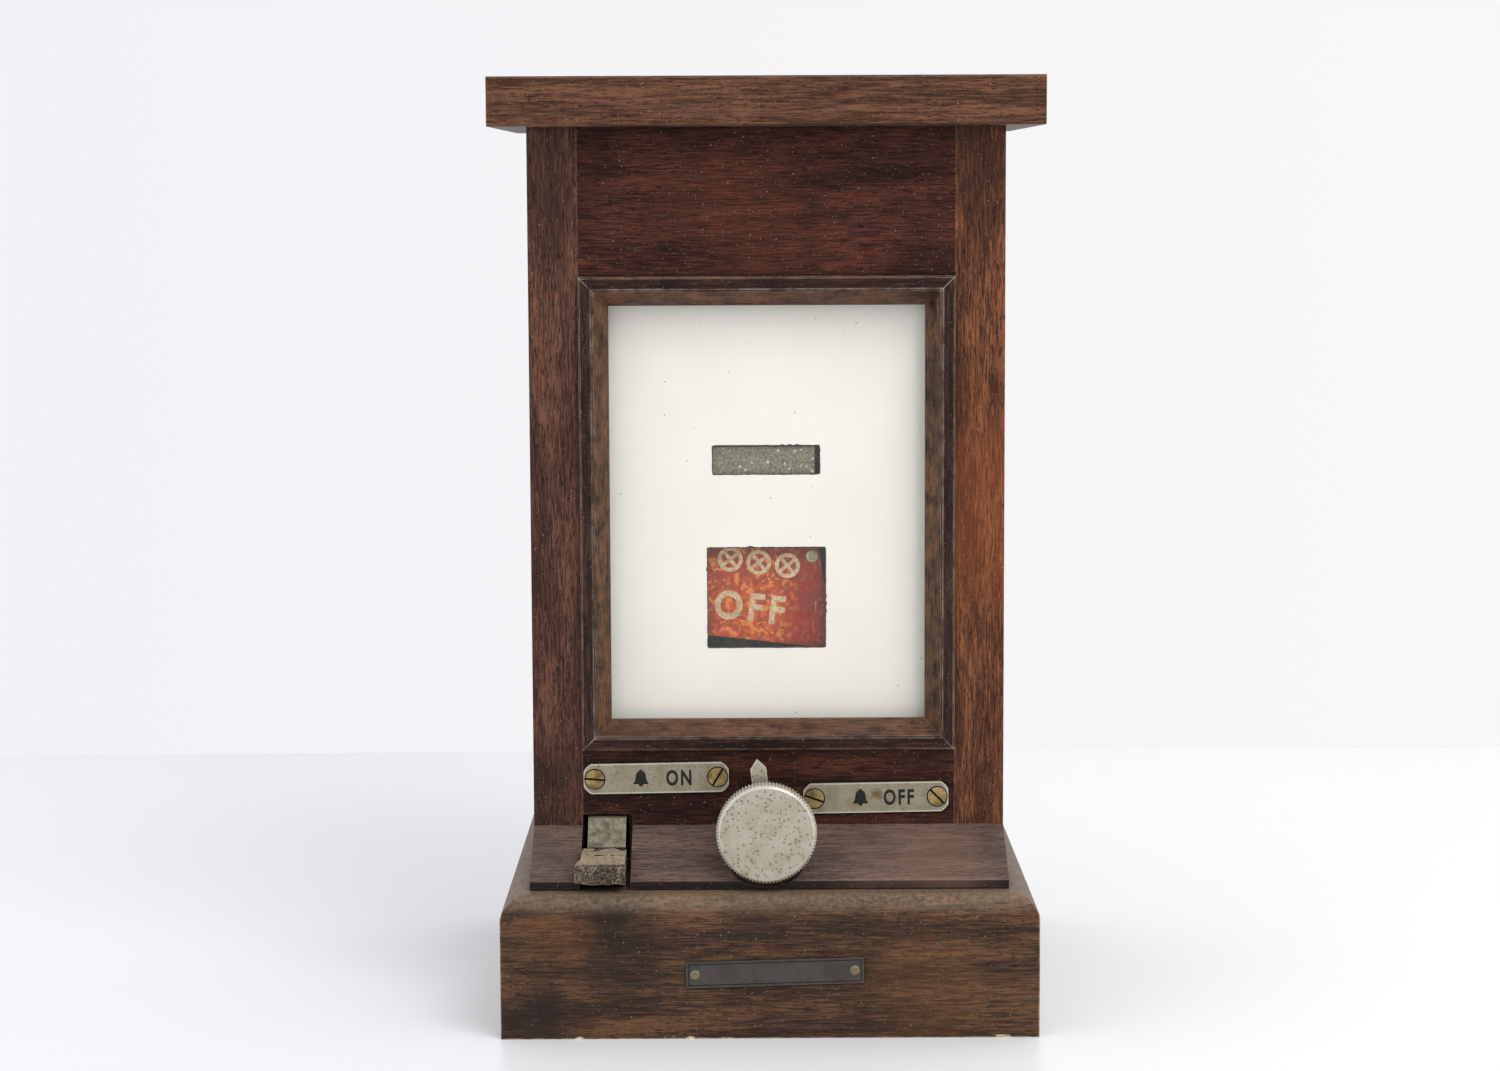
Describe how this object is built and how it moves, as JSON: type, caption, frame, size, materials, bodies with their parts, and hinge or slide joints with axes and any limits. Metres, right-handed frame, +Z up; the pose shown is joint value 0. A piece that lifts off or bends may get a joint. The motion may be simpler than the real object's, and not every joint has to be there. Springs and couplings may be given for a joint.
{
  "type": "signal box lamp indicator",
  "caption": "Glazed wooden lamp indicator on a rounded plinth, with a gravity flag behind a white dial, a bell switch knob and a press key.",
  "frame": {"origin": "centre of the plinth's footprint, at its underside", "axes": "+Z up, front of the instrument towards -Y"},
  "size_m": [0.176, 0.1732, 0.302],
  "materials": {
    "mahogany": "aged french polish, dusty",
    "dark_mahogany": "aged dark polish",
    "brass": "tarnished",
    "nickel": "pitted nickel plate",
    "steel": "plain",
    "ebonite": "matt",
    "glass": "clear, dusty",
    "white_enamel": "satin enamel",
    "slot_grey": "dusty",
    "bronze": "dark patina",
    "dull_nickel": "dull",
    "worn_wood": "raw and broken",
    "winding": "cotton covered wire",
    "green_paint": "dark green paint",
    "flag_red": "worn red paint"
  },
  "bodies": {
    "case": {"plinth": "mahogany", "plinth_floor": "dark_mahogany", "floor_screws": "brass", "left_side_board": "mahogany", "right_side_board": "mahogany", "top_front_panel": "mahogany", "lower_front_rail": "mahogany", "apron": "dark_mahogany", "cap_board": "mahogany", "window_frame_top": "dark_mahogany", "window_frame_bottom": "dark_mahogany", "window_frame_left": "dark_mahogany", "window_frame_right": "dark_mahogany", "glass_pane": "glass", "glazing_beads": "dark_mahogany", "dial_plate": "white_enamel", "slot_backing_plate": "slot_grey", "switch_plate_on": "nickel", "switch_plate_off": "nickel", "plate_screws": "brass", "makers_plate": "bronze", "makers_plate_pins": "bronze", "spindle_bush": "brass", "bush_nut": "brass", "switch_block": "ebonite", "contact_springs": "brass", "key_pin": "steel", "key_bracket": "brass", "key_spring": "steel", "movement_plate": "green_paint", "movement_battens": "mahogany", "movement_screws": "brass", "magnet_shelf": "brass", "coil_bobbins": "ebonite", "coil_windings": "winding", "magnet_cores": "steel", "magnet_yoke": "steel", "rear_bearing_plate": "brass", "terminal_block": "ebonite", "terminal_studs": "brass", "terminal_nuts": "brass", "case_hinge_leaves": "brass", "hinge_pins": "brass", "hinge_screws": "brass"},
    "knob_shaft": {"knob": "nickel", "pointer": "nickel", "spindle": "steel", "switch_cam": "ebonite"},
    "press_key": {"key_lever": "dull_nickel", "key_block": "worn_wood"},
    "flag_unit": {"flag": "flag_red", "flag_arm": "nickel", "flag_shaft": "steel", "armature": "steel"},
    "door": {"back_door": "mahogany", "door_hinge_leaves": "brass", "door_pull": "brass"}
  },
  "joints": [
    {"name": "knob_turn", "type": "hinge", "parent": "case", "child": "knob_shaft", "pos_m": [-0.0009, -0.0484, 0.0638], "axis": [0, 1, 0], "range_deg": [-37, 53]},
    {"name": "key_press", "type": "hinge", "parent": "case", "child": "press_key", "pos_m": [-0.0523, -0.0224, 0.06], "axis": [1, 0, 0], "range_deg": [0, 2.2], "stiffness_Nm_per_rad": 0.5, "springref_deg": -5.73, "deforming": ["key_spring"]},
    {"name": "flag_swing", "type": "hinge", "parent": "case", "child": "flag_unit", "pos_m": [0.0069, -0.0484, 0.1967], "axis": [0, 1, 0], "range_deg": [0, 32]},
    {"name": "door_open", "type": "hinge", "parent": "case", "child": "door", "pos_m": [0.06015, 0.0812, 0.165], "axis": [0, 0, -1], "range_deg": [0, 100]}
  ]
}
